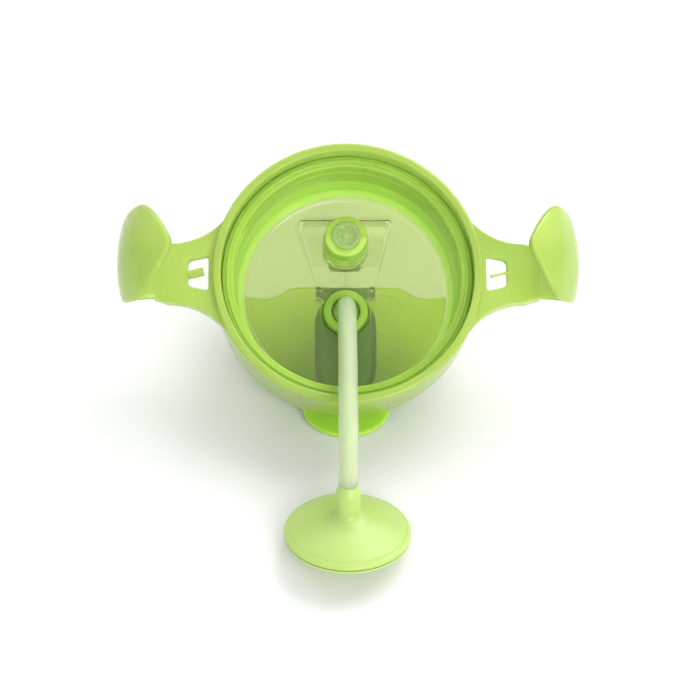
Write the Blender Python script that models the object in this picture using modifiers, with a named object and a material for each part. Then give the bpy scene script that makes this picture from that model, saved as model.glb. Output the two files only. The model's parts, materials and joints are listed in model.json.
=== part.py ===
"""Lid assembly of a weighted-straw trainer cup, resting upside down on its flip cover.

Pieces of the lid are drawn in the lid's own frame: its origin is the middle of the deck's inner
face, +X points to a grip, +Y to the vent stub and +Z to the open side that takes the cup. The
whole frame leans towards -Y, so that the flat roof of the cover's hood lies on the ground. The
clear drop straw leaves the boss, passes over the near rim and ends in the round weight, which
lies on the ground too.
"""

import math

import bmesh
import bpy
from mathutils import Euler, Matrix, Vector

# How the assembly lies (metres and radians)
LEAN = math.radians(30)
DECK_HEIGHT = 0.0213
DECK_Y = 0.00825
GAP = 0.0003
CLEAR = 0.0200

# Lid: deck, domed shoulder and skirt
WALL = 0.0015
LID_RIM_Z = 0.0225
LID_RIM_INNER = 0.0342
LID_RIM_OUTER = 0.0374
SNAP_Z = 0.0124
LID_STEPS = 60

# Straw boss and its socket
BOSS_Y = -0.0057
BOSS_OUTER = 0.0075
BOSS_BORE = 0.00445
BOSS_TOP = 0.0030
BOSS_BORE_FLOOR = 0.0004
DECK_HOLE = 0.0040

# Vent stub, in a sunk pad that deepens away from the boss
STUB_Y = 0.0160
STUB_FOOT_RADIUS = 0.0073
STUB_STEP_RADIUS = 0.0069
STUB_TOP_RADIUS = 0.0065
STUB_STEP_Z = 0.0055
STUB_TOP = 0.0102
STUB_BORE = 0.0040
STUB_BORE_FLOOR = 0.0020
VALVE_FLANGE = 0.0044
VALVE_TOP = STUB_TOP + 0.0009
VENT_HOLE = 0.0009
PAD_FAR_Y = 0.0258
PAD_FAR_HALF = 0.0157
PAD_NEAR_RADIUS = 0.0077
PAD_DEPTH = 0.0005
PAD_SLOPE_START = 0.0080
PAD_SLOPE_DEPTH = 0.0075
RIB_HALF = 0.0011
RIB_TOP = 0.0004

# Handle ring, arms and grips
RING_OUTER = 0.0403
RING_FOOT = 0.0397
RING_INNER = LID_RIM_OUTER + 0.00035
RING_TOP = 0.0270
RING_BOTTOM = 0.0056
ARM_HALF = 0.0092
ARM_END = 0.0575
ARM_FILLET = 0.0210
ARM_FILLET_X = 0.0530
ARM_TOP = 0.0246
ARM_WEB = 0.0022
ARM_DEPTH = 0.0039
ARM_EDGE = 0.0013
WINDOW_NEAR, WINDOW_FAR = 0.0415, 0.0475
WINDOW_NEAR_HALF, WINDOW_FAR_HALF = 0.0053, 0.0040
GRIP_THICKNESS = 0.0023
GRIP_ROOT_HALF = 0.0078
GRIP_HALF = 0.0141
GRIP_CROWN = 0.0026
GRIP_SPINE = ((0.0555, 0.0236), (0.0712, 0.0236), (0.0706, 0.0476), (0.0507, 0.0556))

# Flip cover: plate, hood, tab and hinge
PLATE_TOP = -0.0023
PLATE_BOTTOM = -0.0039
PLATE_RADIUS = 0.0322
PLATE_EDGE_HIGH = 0.0031
PLATE_EDGE_LOW = -0.0006
HINGE_Y, HINGE_Z = 0.0013, -0.0049
BARREL_RADIUS = 0.0018
BARREL_HALF = 0.0072
PIN_RADIUS = 0.0010
EAR_THICKNESS = 0.0019
EAR_HALF = 0.0022
HOOD_HALF = 0.0096
HOOD_REAR_Y = -0.0085
HOOD_NEAR_Y = -0.0226
HOOD_WALL = 0.0015
HOOD_EDGE = 0.0030
HOOD_DRAFT = 0.0007

# Mouthpiece, connector, drop straw and weight
MOUTH_PIVOT_Z = -0.0069
MOUTH_BALL = 0.0035
MOUTH_RADIUS = 0.0030
MOUTH_BORE = 0.0016
MOUTH_LENGTH = 0.0170
MOUTH_FOLD = math.radians(93)
CONNECTOR_TOP = 0.0012
CONNECTOR_FLANGE = 0.0044
STRAW_PIVOT_Z = 0.0045
TUBE_DIAMETER = 0.0057
WEIGHT_RADIUS = 0.01825
WEIGHT_X = -0.0007
WEIGHT_Y = -0.0732
WEIGHT_HEIGHT = 0.00712
WEIGHT_TILT = math.radians(15)
STEM_RADIUS = 0.0036
STEM_TOP = 0.0158
ROUND_STEPS = 32

# The drop straw's route: its centreline in the ground frame, out of the boss, over the near
# rim and down onto the weight's stem
STRAW_ROUTE = (
    (0.0, 0.00106, 0.02235),
    (0.0, -0.0005, 0.02505),
    (0.0, -0.0030, 0.0278),
    (0.0, -0.0068, 0.0297),
    (0.0, -0.0120, 0.0306),
    (-0.0001, -0.0200, 0.0308),
    (-0.0002, -0.0300, 0.0305),
    (-0.0004, -0.0400, 0.0305),
    (-0.0005, -0.0500, 0.0308),
    (-0.0006, -0.0572, 0.0309),
    (-0.0007, -0.0625, 0.0296),
    (-0.0007, -0.0663, 0.0268),
    (-0.0007, -0.06846, 0.0247),
    (-0.0007, -0.0690, 0.0228),
)
STRAW_POINTS = 34


# ---------------------------------------------------------------- scene and materials


def clear_scene():
    for obj in list(bpy.data.objects):
        bpy.data.objects.remove(obj, do_unlink=True)


def new_collection(name):
    collection = bpy.data.collections.new(name)
    bpy.context.scene.collection.children.link(collection)
    return collection


def plastic(name, colour, roughness, alpha=1.0, metallic=0.0):
    material = bpy.data.materials.new(name)
    material.use_nodes = True
    shader = material.node_tree.nodes["Principled BSDF"]
    shader.inputs["Base Color"].default_value = (*colour, 1.0)
    shader.inputs["Roughness"].default_value = roughness
    shader.inputs["Metallic"].default_value = metallic
    shader.inputs["Alpha"].default_value = alpha
    return material


# ---------------------------------------------------------------- building blocks


def place(obj, collection, parent=None, location=(0, 0, 0), rotation=(0, 0, 0)):
    collection.objects.link(obj)
    obj.parent = parent
    obj.location = location
    obj.rotation_euler = rotation
    return obj


def helper(obj, parent, location=(0, 0, 0), rotation=(0, 0, 0)):
    """A shape that only joins or cuts another one."""
    place(obj, cutters, parent, location, rotation)
    obj.hide_render = True
    obj.display_type = "WIRE"
    return obj


def piece(obj, name, material, parent, location=(0, 0, 0), rotation=(0, 0, 0)):
    """A real piece of the assembly."""
    place(obj, parts, parent, location, rotation)
    obj.name = obj.data.name = name
    obj.data.materials.clear()
    obj.data.materials.append(material)
    obj.data.shade_smooth()
    obj.data.set_sharp_from_angle(angle=math.radians(35))
    return obj


def rounded(corners, closed=True, steps=3):
    """The outline through (x, y) or (x, y, radius) corners, each radius turned into an arc."""
    outline = []
    count = len(corners)
    for i, corner in enumerate(corners):
        here = Vector(corner[:2])
        radius = corner[2] if len(corner) > 2 else 0.0
        at_end = not closed and i in (0, count - 1)
        if radius <= 0 or at_end:
            outline.append(here)
            continue
        before = (Vector(corners[i - 1][:2]) - here).normalized()
        after = (Vector(corners[(i + 1) % count][:2]) - here).normalized()
        half = before.angle(after) / 2
        middle = here + (before + after).normalized() * (radius / math.sin(half))
        start = here + before * (radius / math.tan(half)) - middle
        end = here + after * (radius / math.tan(half)) - middle
        turn = start.angle_signed(end)
        for k in range(steps + 1):
            arm = start.copy()
            arm.rotate(Matrix.Rotation(-turn * k / steps, 2))
            outline.append(middle + arm)
    return outline


def turned(profile, closed=True, steps=LID_STEPS):
    """A solid of revolution about Z. The (radius, z) profile runs down its outer side."""
    shape = bmesh.new()
    points = [shape.verts.new((p[0], 0, p[1])) for p in profile]
    for a, b in zip(points, points[1:] + points[:1] if closed else points[1:]):
        shape.edges.new((a, b))
    obj = mesh_object(shape)
    screw = obj.modifiers.new("Turn", "SCREW")
    screw.steps = screw.render_steps = steps
    screw.use_merge_vertices = True
    screw.merge_threshold = 0.00001
    return obj


def mesh_object(shape):
    mesh = bpy.data.meshes.new("shape")
    shape.to_mesh(mesh)
    shape.free()
    return bpy.data.objects.new("shape", mesh)


def box(x0, x1, y0, y1, z0, z1):
    shape = bmesh.new()
    bmesh.ops.create_cube(shape, size=1)
    obj = mesh_object(shape)
    size = Matrix.Diagonal((x1 - x0, y1 - y0, z1 - z0, 1))
    centre = Matrix.Translation(((x0 + x1) / 2, (y0 + y1) / 2, (z0 + z1) / 2))
    obj.data.transform(centre @ size)
    return obj


def rod(radius, half_length, segments=20):
    """A cylinder along X, centred on its object's origin."""
    shape = bmesh.new()
    bmesh.ops.create_cone(
        shape, cap_ends=True, segments=segments, radius1=radius, radius2=radius, depth=2 * half_length
    )
    obj = mesh_object(shape)
    obj.data.transform(Matrix.Rotation(math.radians(90), 4, "Y"))
    return obj


def as_mesh(obj):
    """The object as the viewport shows it, made a plain mesh with its seams welded."""
    bpy.context.view_layer.update()
    graph = bpy.context.evaluated_depsgraph_get()
    mesh = bpy.data.meshes.new_from_object(obj.evaluated_get(graph))
    mesh.transform(obj.matrix_world)
    bpy.data.objects.remove(obj, do_unlink=True)
    shape = bmesh.new()
    shape.from_mesh(mesh)
    bmesh.ops.remove_doubles(shape, verts=shape.verts, dist=0.000001)
    bmesh.ops.recalc_face_normals(shape, faces=shape.faces)
    shape.to_mesh(mesh)
    shape.free()
    return bpy.data.objects.new("shape", mesh)


def plate(outlines, bottom, top):
    """A flat slab between two heights. Any outline inside the first is a hole."""
    curve = bpy.data.curves.new("outline", "CURVE")
    curve.dimensions = "2D"
    curve.fill_mode = "BOTH"
    curve.extrude = (top - bottom) / 2
    for outline in outlines:
        spline = curve.splines.new("POLY")
        spline.points.add(len(outline) - 1)
        for point, corner in zip(spline.points, outline):
            point.co = (corner[0], corner[1], 0, 1)
        spline.use_cyclic_u = True
    obj = bpy.data.objects.new("outline", curve)
    bpy.context.scene.collection.objects.link(obj)
    obj.location.z = (top + bottom) / 2
    return as_mesh(obj)


def loft(rings):
    """A closed skin over rings that each have the same number of points."""
    shape = bmesh.new()
    loops = [[shape.verts.new(point) for point in ring] for ring in rings]
    for lower, upper in zip(loops, loops[1:]):
        for i in range(len(lower)):
            j = (i + 1) % len(lower)
            shape.faces.new((lower[i], lower[j], upper[j], upper[i]))
    shape.faces.new(loops[0][::-1])
    shape.faces.new(loops[-1])
    bmesh.ops.recalc_face_normals(shape, faces=shape.faces)
    return mesh_object(shape)


def combine(target, other, operation):
    modifier = target.modifiers.new(operation.title(), "BOOLEAN")
    modifier.operation = operation
    modifier.object = other


def join(target, *others):
    for other in others:
        combine(target, other, "UNION")


def cut(target, *others):
    for other in others:
        combine(target, other, "DIFFERENCE")


def move_origin(obj, origin):
    """Puts the object's origin at a point of its parent's frame, its shape staying in place."""
    obj.data.transform(Matrix.Translation(-Vector(origin)))
    obj.location = origin


# ---------------------------------------------------------------- lid shell


def lid_profile():
    corners = [
        (0, 0),
        (0.0310, 0, 0.0016),
        (0.0332, 0.0042, 0.0024),
        (0.0343, 0.0090, 0.0020),
        (0.0346, 0.0150),
        (0.0341, 0.0157),
        (0.0341, 0.0165),
        (0.0346, 0.0172),
        (0.0346, 0.0196),
        (LID_RIM_INNER, 0.0205),
        (LID_RIM_INNER, LID_RIM_Z),
        (0.0354, LID_RIM_Z),
        (0.0355, LID_RIM_Z + 0.0006),
        (0.0363, LID_RIM_Z + 0.0006),
        (0.0364, LID_RIM_Z),
        (LID_RIM_OUTER, LID_RIM_Z),
        (LID_RIM_OUTER, SNAP_Z + 0.0009),
        (LID_RIM_OUTER - 0.0005, SNAP_Z + 0.0004),
        (LID_RIM_OUTER - 0.0005, SNAP_Z - 0.0004),
        (LID_RIM_OUTER, SNAP_Z - 0.0009),
        (LID_RIM_OUTER, 0.0092),
        (0.0360, 0.0068, 0.0018),
        (0.0348, 0.0010, 0.0030),
        (0.0322, -WALL, 0.0018),
        (0, -WALL),
    ]
    return rounded(corners, closed=False, steps=2)


def pad_outline(far_y, far_half, corner):
    """The trapezoid that narrows to a half circle round the boss, counter-clockwise."""
    circle = [
        (
            PAD_NEAR_RADIUS * math.cos(math.radians(angle)),
            BOSS_Y + PAD_NEAR_RADIUS * math.sin(math.radians(angle)),
        )
        for angle in range(-195, 16, 15)
    ]
    return rounded([*circle, (far_half, far_y, corner), (-far_half, far_y, corner)], steps=2)


def pad_wedge(inset, top):
    """The deep part of the pad, whose floor falls away from the boss."""
    slope = PAD_SLOPE_DEPTH / (PAD_FAR_Y - PAD_SLOPE_START)
    far_y = PAD_FAR_Y - inset
    near_y = PAD_SLOPE_START + inset
    taper = (PAD_FAR_HALF - PAD_NEAR_RADIUS) / (PAD_FAR_Y - BOSS_Y)

    def half_at(y):
        return PAD_FAR_HALF - taper * (PAD_FAR_Y - y) - inset

    footprint = [
        (half_at(near_y), near_y),
        (half_at(far_y), far_y),
        (-half_at(far_y), far_y),
        (-half_at(near_y), near_y),
    ]
    outside = WALL if inset == 0 else 0.0
    floor = [(x, y, -slope * (y - PAD_SLOPE_START) - outside) for x, y in footprint]
    roof = [(x, y, top) for x, y in footprint]
    return loft([floor, roof])


def stub_profile():
    foot = -0.0045
    return [
        (0, STUB_TOP),
        (STUB_TOP_RADIUS - 0.0004, STUB_TOP),
        (STUB_TOP_RADIUS, STUB_TOP - 0.0004),
        (STUB_STEP_RADIUS, STUB_STEP_Z),
        (STUB_FOOT_RADIUS - 0.0001, STUB_STEP_Z - 0.0004),
        (STUB_FOOT_RADIUS, foot),
        (0, foot),
    ]


def hinge_ear(side):
    centre = side * (BARREL_HALF + GAP + EAR_THICKNESS / 2)
    foot, tip = -WALL + 0.0005, HINGE_Z - BARREL_RADIUS
    corners = [
        (HINGE_Y - EAR_HALF, foot),
        (PLATE_EDGE_HIGH, foot),
        (PLATE_EDGE_HIGH, tip, 0.0015),
        (HINGE_Y - EAR_HALF, tip, BARREL_RADIUS),
    ]
    ear = plate([rounded(corners)], -EAR_THICKNESS / 2, EAR_THICKNESS / 2)
    to_lid = Matrix(((0, 0, 1, centre), (1, 0, 0, 0), (0, 1, 0, 0), (0, 0, 0, 1)))
    ear.data.transform(to_lid)
    return helper(ear, lid_frame)


def stepped_bore(radius, floor, hole):
    """The cutter of a socket with a smaller hole through its floor, turned half a step off its boss."""
    profile = [(0, CLEAR), (radius, CLEAR), (radius, floor), (hole, floor), (hole, -CLEAR), (0, -CLEAR)]
    bore = turned(profile, closed=False, steps=ROUND_STEPS)
    bore.data.transform(Matrix.Rotation(math.pi / ROUND_STEPS, 4, "Z"))
    return bore


def build_lid_shell(material):
    in_deck = -WALL / 2
    shell = piece(turned(lid_profile(), closed=False), "lid_shell", material, lid_frame)
    join(shell, helper(pad_wedge(0.0, in_deck), lid_frame))
    shallow = pad_outline(PAD_FAR_Y - WALL, PAD_FAR_HALF - 0.0008, 0.0012)
    cut(
        shell,
        helper(plate([shallow], -PAD_DEPTH, WALL), lid_frame),
        helper(pad_wedge(WALL, WALL), lid_frame),
    )
    stub = turned(stub_profile(), closed=False, steps=ROUND_STEPS)
    boss_profile = [(0, BOSS_TOP), (BOSS_OUTER - 0.0008, BOSS_TOP), (BOSS_OUTER, in_deck), (0, in_deck)]
    boss = turned(boss_profile, closed=False, steps=ROUND_STEPS)
    near_y = BOSS_Y + BOSS_OUTER - 0.0005
    far_y = STUB_Y - STUB_FOOT_RADIUS + 0.0005
    rib = box(-RIB_HALF, RIB_HALF, near_y, far_y, in_deck, RIB_TOP)
    join(
        shell,
        helper(stub, lid_frame, (0, STUB_Y, 0)),
        helper(boss, lid_frame, (0, BOSS_Y, 0)),
        helper(rib, lid_frame),
        hinge_ear(1),
        hinge_ear(-1),
    )
    stub_bore = stepped_bore(STUB_BORE, STUB_BORE_FLOOR, VENT_HOLE)
    boss_bore = stepped_bore(BOSS_BORE, BOSS_BORE_FLOOR, DECK_HOLE)
    cut(
        shell,
        helper(stub_bore, lid_frame, (0, STUB_Y, 0)),
        helper(boss_bore, lid_frame, (0, BOSS_Y, 0)),
        helper(rod(PIN_RADIUS + GAP, CLEAR), lid_frame, (0, HINGE_Y, HINGE_Z)),
    )


# ---------------------------------------------------------------- handle ring


def ring_profile():
    lip = 0.0003
    return [
        (RING_INNER + lip, RING_TOP),
        (RING_OUTER - lip, RING_TOP),
        (RING_OUTER, RING_TOP - lip),
        (RING_FOOT, RING_BOTTOM + lip),
        (RING_FOOT - lip, RING_BOTTOM),
        (RING_INNER, RING_BOTTOM),
        (RING_INNER, SNAP_Z - 0.0007),
        (RING_INNER - 0.0005, SNAP_Z),
        (RING_INNER, SNAP_Z + 0.0007),
        (RING_INNER, RING_TOP - 2 * lip),
    ]


def arm_outline(side, inset):
    """One arm from inside the ring's wall to its grip, flared where it meets the ring."""
    radius = ARM_FILLET + inset
    centre = Vector((ARM_FILLET_X, ARM_HALF + ARM_FILLET))
    from_ring = math.atan2(-centre.y, -centre.x)
    to_arm = -math.pi / 2
    arc = []
    for k in range(9):
        angle = from_ring + (to_arm - from_ring) * k / 8
        arc.append((centre.x + radius * math.cos(angle), centre.y + radius * math.sin(angle)))
    in_wall = RING_INNER + 0.0009
    root = [(in_wall * math.cos(a), in_wall * math.sin(a)) for a in (0.0, 0.16, 0.32, 0.46)]
    half = [*root, *arc, (ARM_END - inset, GRIP_ROOT_HALF - inset)]
    outline = half + [(x, -y) for x, y in reversed(half[1:])]
    return [(side * x, y) for x, y in outline]


def window_outline(side):
    corners = [
        (WINDOW_NEAR, -WINDOW_NEAR_HALF, 0.0006),
        (WINDOW_FAR, -WINDOW_FAR_HALF, 0.0014),
        (WINDOW_FAR, WINDOW_FAR_HALF, 0.0014),
        (WINDOW_NEAR, WINDOW_NEAR_HALF, 0.0006),
    ]
    return [(side * x, y) for x, y in rounded(corners)]


def click_tongue(side):
    """The springy tongue in an arm's window, turned half round from one arm to the other."""
    tongue = box(-0.0005, 0.0047, -0.0004, 0.0004, -0.0019, 0.0019)
    inward = 0.0 if side < 0 else math.pi
    turn = Euler((math.radians(-16), 0, math.radians(14))).to_matrix().to_4x4()
    around = Matrix.Rotation(inward, 4, "Z")
    tongue.data.transform(around @ Matrix.Translation((-WINDOW_FAR, -0.0004, ARM_TOP - 0.0012)) @ turn)
    return helper(tongue, lid_frame)


def spine_point(t):
    a, b, c, d = (Vector(p) for p in GRIP_SPINE)
    s = 1 - t
    return a * s**3 + b * (3 * s * s * t) + c * (3 * s * t * t) + d * t**3


def grip_half_width(t):
    """From the grip's root to the leaf's widest, and then in to its round tip."""
    widest_at = 0.72
    if t < widest_at:
        u = t / widest_at
        blend = u * u * (3 - 2 * u)
        return GRIP_ROOT_HALF + (GRIP_HALF - GRIP_ROOT_HALF) * blend
    u = (t - widest_at) / (1 - widest_at)
    return GRIP_HALF * max(1 - u**1.7, 0.0) ** 0.72


def grip_sheet(side):
    """The curled leaf as an open sheet that Solidify makes a wall."""
    across, along = 8, 20
    shape = bmesh.new()
    rows = []
    for j in range(along + 1):
        t = min(j / along, 0.997)
        x, z = spine_point(t)
        half = grip_half_width(t)
        crown = GRIP_CROWN * math.sin(math.pi * min(t / 0.72, 1) / 2) * (half / GRIP_HALF) ** 2
        row = []
        for i in range(across + 1):
            v = 2 * i / across - 1
            row.append(shape.verts.new((side * (x - crown * v * v), half * v, z)))
        rows.append(row)
    for a, b in zip(rows, rows[1:]):
        for i in range(across):
            shape.faces.new((a[i], a[i + 1], b[i + 1], b[i]))
    bmesh.ops.recalc_face_normals(shape, faces=shape.faces)
    sheet = helper(mesh_object(shape), lid_frame)
    wall = sheet.modifiers.new("Wall", "SOLIDIFY")
    wall.thickness = GRIP_THICKNESS
    wall.offset = 0
    wall.use_even_offset = True
    return sheet


def build_handle_ring(material):
    ring = piece(turned(ring_profile()), "handle_ring", material, lid_frame)
    for side in (1, -1):
        arm = helper(plate([arm_outline(side, 0.0)], ARM_TOP - ARM_DEPTH, ARM_TOP), lid_frame)
        pocket = plate([arm_outline(side, ARM_EDGE)], ARM_TOP - 2 * ARM_DEPTH, ARM_TOP - ARM_WEB)
        window = plate([window_outline(side)], ARM_TOP - 2 * ARM_DEPTH, ARM_TOP + ARM_DEPTH)
        kept = RING_OUTER - 0.0003
        ring_wall = turned([(0, RING_TOP), (kept, RING_TOP), (kept, 0), (0, 0)], closed=False)
        pocket = helper(pocket, lid_frame)
        cut(pocket, helper(ring_wall, lid_frame))
        cut(arm, pocket, helper(window, lid_frame))
        join(ring, arm, grip_sheet(side), click_tongue(side))


# ---------------------------------------------------------------- flip cover


def roof_z(y):
    """The lid-frame height of the ground, where the hood's flat roof lies."""
    return -(DECK_HEIGHT + y * math.sin(LEAN)) / math.cos(LEAN)


def hood_footprint(inset, steps=10):
    radius = HOOD_HALF - inset
    points = []
    for start, y in ((0, HOOD_REAR_Y), (math.pi, HOOD_NEAR_Y)):
        for k in range(steps + 1):
            angle = start + math.pi * k / steps
            points.append((radius * math.cos(angle), y + radius * math.sin(angle)))
    return points


def hood_loft(wall, base):
    """The hood, or with a wall its hollow: drafted sides, round edges, a flat sloping roof."""
    rings = [[(x, y, base) for x, y in hood_footprint(wall)]]
    lift = wall / math.cos(LEAN)
    for k in range(5):
        angle = math.pi / 2 * k / 4
        inset = wall + HOOD_DRAFT + HOOD_EDGE * (1 - math.cos(angle))
        rise = lift + HOOD_EDGE * (1 - math.sin(angle))
        rings.append([(x, y, roof_z(y) + rise) for x, y in hood_footprint(inset)])
    return loft(rings)


def plate_outline():
    """A half disc whose far edge waves: high in the middle, low near the sides."""
    flat_half, low_at = 0.0150, 0.0246
    far_edge = []
    for k in range(25):
        x = -PLATE_RADIUS + 0.0002 + k * (2 * PLATE_RADIUS - 0.0004) / 24
        reach = min(max((abs(x) - flat_half) / (low_at - flat_half), 0), 1)
        drop = (1 - math.cos(math.pi * reach)) / 2
        rise = 0.0007 * max(abs(x) - low_at, 0) / (PLATE_RADIUS - low_at)
        far_edge.append((x, PLATE_EDGE_HIGH + (PLATE_EDGE_LOW - PLATE_EDGE_HIGH) * drop + rise))
    near_arc = [
        (PLATE_RADIUS * math.cos(math.radians(a)), PLATE_RADIUS * math.sin(math.radians(a)))
        for a in range(-3, -178, -6)
    ]
    return far_edge + near_arc


def thumb_tab():
    """A half-elliptic lip that follows the lid's shoulder and stands out past the ring."""
    start_y, end_y, half_width = -0.0290, -0.0452, 0.0133
    shape = bmesh.new()
    rows = []
    for j in range(11):
        t = math.sin(math.pi / 2 * j / 10)
        y = start_y + (end_y - start_y) * t
        straight = 0.40
        u = max(t - straight, 0) / (1 - straight)
        half = half_width * math.sqrt(max(1 - u * u, 0.0001))
        z = (PLATE_TOP + PLATE_BOTTOM) / 2 + 0.0058 * t**1.5
        row = [shape.verts.new((half * (i / 4 - 1), y, z)) for i in range(9)]
        rows.append(row)
    for a, b in zip(rows, rows[1:]):
        for i in range(8):
            shape.faces.new((a[i], a[i + 1], b[i + 1], b[i]))
    bmesh.ops.recalc_face_normals(shape, faces=shape.faces)
    tab = helper(mesh_object(shape), lid_frame)
    wall = tab.modifiers.new("Wall", "SOLIDIFY")
    wall.thickness = 0.0016
    wall.offset = 0
    return tab


def plaque():
    """A plain raised oblong with round ends, under the plate."""
    half_width, half_height, y = 0.0175, 0.0052, -0.0044
    corner = half_height - 0.0001
    corners = [
        (half_width, y - half_height, corner),
        (half_width, y + half_height, corner),
        (-half_width, y + half_height, corner),
        (-half_width, y - half_height, corner),
    ]
    outline = rounded(corners, steps=5)
    return helper(plate([outline], PLATE_BOTTOM - 0.0005, PLATE_BOTTOM + 0.0006), lid_frame)


def build_flip_cover(material):
    cover = piece(plate([plate_outline()], PLATE_BOTTOM, PLATE_TOP), "flip_cover", material, lid_frame)
    barrel = rod(BARREL_RADIUS, BARREL_HALF)
    pins = rod(PIN_RADIUS, BARREL_HALF + GAP + EAR_THICKNESS)
    join(cover, plaque())
    ear_room = EAR_THICKNESS + 2 * GAP
    for side in (1, -1):
        middle = side * (BARREL_HALF + ear_room / 2)
        low, high = middle - ear_room / 2, middle + ear_room / 2
        cut(cover, helper(box(low, high, HINGE_Y - EAR_HALF - GAP, CLEAR, -CLEAR, 0.0), lid_frame))
    join(
        cover,
        thumb_tab(),
        helper(hood_loft(0.0, PLATE_TOP - 0.0004), lid_frame),
        helper(barrel, lid_frame, (0, HINGE_Y, HINGE_Z)),
    )
    cut(cover, helper(hood_loft(HOOD_WALL, 0.0), lid_frame))
    join(cover, helper(pins, lid_frame, (0, HINGE_Y, HINGE_Z)))
    move_origin(cover, (0, HINGE_Y, HINGE_Z))


# ---------------------------------------------------------------- small inner pieces


def build_mouth_straw(material):
    """Soft spout with a round root, folded down under the hood. Its origin is the fold."""
    root = []
    for degrees in (56, 30, 0, -30, -56):
        angle = math.radians(degrees)
        root.append((MOUTH_BALL * math.cos(angle), MOUTH_BALL * math.sin(angle)))
    profile = [
        (MOUTH_BORE, MOUTH_LENGTH),
        (MOUTH_RADIUS - 0.0004, MOUTH_LENGTH),
        (MOUTH_RADIUS + 0.0002, MOUTH_LENGTH - 0.0012),
        (MOUTH_RADIUS - 0.0001, MOUTH_LENGTH - 0.0036),
        *root,
        (MOUTH_BORE, root[-1][1]),
    ]
    spout = turned(profile, steps=24)
    fold = (math.pi - MOUTH_FOLD, 0, 0)
    piece(spout, "mouth_straw", material, lid_frame, (0, BOSS_Y, MOUTH_PIVOT_Z), fold)


def build_straw_connector(material):
    neck = DECK_HOLE - GAP
    profile = [
        (MOUTH_BORE, CONNECTOR_TOP),
        (neck, CONNECTOR_TOP),
        (neck, -WALL - GAP),
        (CONNECTOR_FLANGE, -WALL - GAP),
        (CONNECTOR_FLANGE, -0.0030),
        (MOUTH_BORE, -0.0030),
    ]
    piece(turned(profile, steps=ROUND_STEPS), "straw_connector", material, lid_frame, (0, BOSS_Y, 0))


def build_vent_valve(material):
    """A silicone plug with a flange over the stub's end, a raised ring and a centre pip."""
    groove = VALVE_TOP - 0.0005
    profile = [
        (0, VALVE_TOP),
        (0.0010, VALVE_TOP),
        (0.0013, groove),
        (0.0028, groove),
        (0.0031, VALVE_TOP),
        (VALVE_FLANGE - 0.0003, VALVE_TOP),
        (VALVE_FLANGE, VALVE_TOP - 0.0003),
        (VALVE_FLANGE, STUB_TOP + GAP),
        (STUB_BORE - GAP, STUB_TOP + GAP),
        (STUB_BORE - GAP, STUB_BORE_FLOOR + GAP),
        (0, STUB_BORE_FLOOR + GAP),
    ]
    plug = turned(profile, closed=False, steps=ROUND_STEPS)
    piece(plug, "vent_valve", material, lid_frame, (0, STUB_Y, 0))


# ---------------------------------------------------------------- drop straw and weight


def smooth_path(route, count):
    """Evenly spaced points of the Catmull-Rom curve through the route."""
    knots = [Vector(point) for point in route]
    knots = [2 * knots[0] - knots[1], *knots, 2 * knots[-1] - knots[-2]]
    dense = []
    for a, b, c, d in zip(knots, knots[1:], knots[2:], knots[3:]):
        for k in range(20):
            t = k / 20
            bend = (2 * a - 5 * b + 4 * c - d) * t**2 + (3 * b - a - 3 * c + d) * t**3
            dense.append((2 * b + (c - a) * t + bend) / 2)
    dense.append(knots[-2])
    reach = [0.0]
    for a, b in zip(dense, dense[1:]):
        reach.append(reach[-1] + (b - a).length)
    points, at = [], 0
    for k in range(count):
        wanted = reach[-1] * k / (count - 1)
        while at < len(reach) - 2 and reach[at + 1] < wanted:
            at += 1
        share = (wanted - reach[at]) / (reach[at + 1] - reach[at])
        points.append(dense[at].lerp(dense[at + 1], share))
    return points


def build_straw_tube(material):
    curve = bpy.data.curves.new("straw_tube", "CURVE")
    curve.dimensions = "3D"
    curve.bevel_depth = TUBE_DIAMETER / 2
    curve.bevel_resolution = 3
    curve.use_fill_caps = True
    points = smooth_path(STRAW_ROUTE, STRAW_POINTS)
    spline = curve.splines.new("POLY")
    spline.points.add(len(points) - 1)
    for knot, point in zip(spline.points, points):
        knot.co = (*(straw_pivot.matrix_world.inverted() @ point), 1)
    tube = bpy.data.objects.new("straw_tube", curve)
    tube.data.materials.append(material)
    place(tube, parts, straw_pivot)


def weight_dome(radius):
    """Height of the weight's upper face over its rim."""
    return 0.0052 * (1 - (radius / WEIGHT_RADIUS) ** 2)


def weight_floor(radius):
    """Height of its lower face, a shallow cap of a sphere."""
    cap_radius, lowest = 0.050, -0.0056
    return lowest + cap_radius - math.sqrt(cap_radius**2 - radius**2)


def build_weight(cap_material, slug_material):
    seam = -0.0012
    dome = [(r, weight_dome(r)) for r in (0.0060, 0.0090, 0.0120, 0.0150, 0.0172)]
    cap = [
        (0.0015, STEM_TOP),
        (0.0027, STEM_TOP),
        (STEM_RADIUS, STEM_TOP - 0.0030),
        (STEM_RADIUS, 0.0066),
        (0.0042, 0.0052),
        *dome,
        (WEIGHT_RADIUS, -0.0002),
        (WEIGHT_RADIUS, seam),
        (0.0150, seam),
        (0.0134, 0.0009),
        (0.0038, 0.0009),
        (0.0015, 0.0030),
    ]
    floor = [(r, weight_floor(r)) for r in (0.0174, 0.0140, 0.0100, 0.0060, 0.0030)]
    base = [
        (0.0150, seam - GAP),
        (WEIGHT_RADIUS, seam - GAP),
        (WEIGHT_RADIUS, -0.0022),
        *floor,
        (0.0030, weight_floor(0.0030) + 0.0012),
        (0.0128, weight_floor(0.0128) + 0.0012),
    ]
    slug_low, slug_high = -0.0022, 0.0006
    slug = [(0.0045, slug_high), (0.0125, slug_high), (0.0125, slug_low), (0.0045, slug_low)]
    for name, profile, material in (
        ("weight_cap", cap, cap_material),
        ("weight_base", base, cap_material),
        ("weight_slug", slug, slug_material),
    ):
        piece(turned(profile, steps=ROUND_STEPS), name, material, weight_frame)


# ---------------------------------------------------------------- assembly


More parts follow.
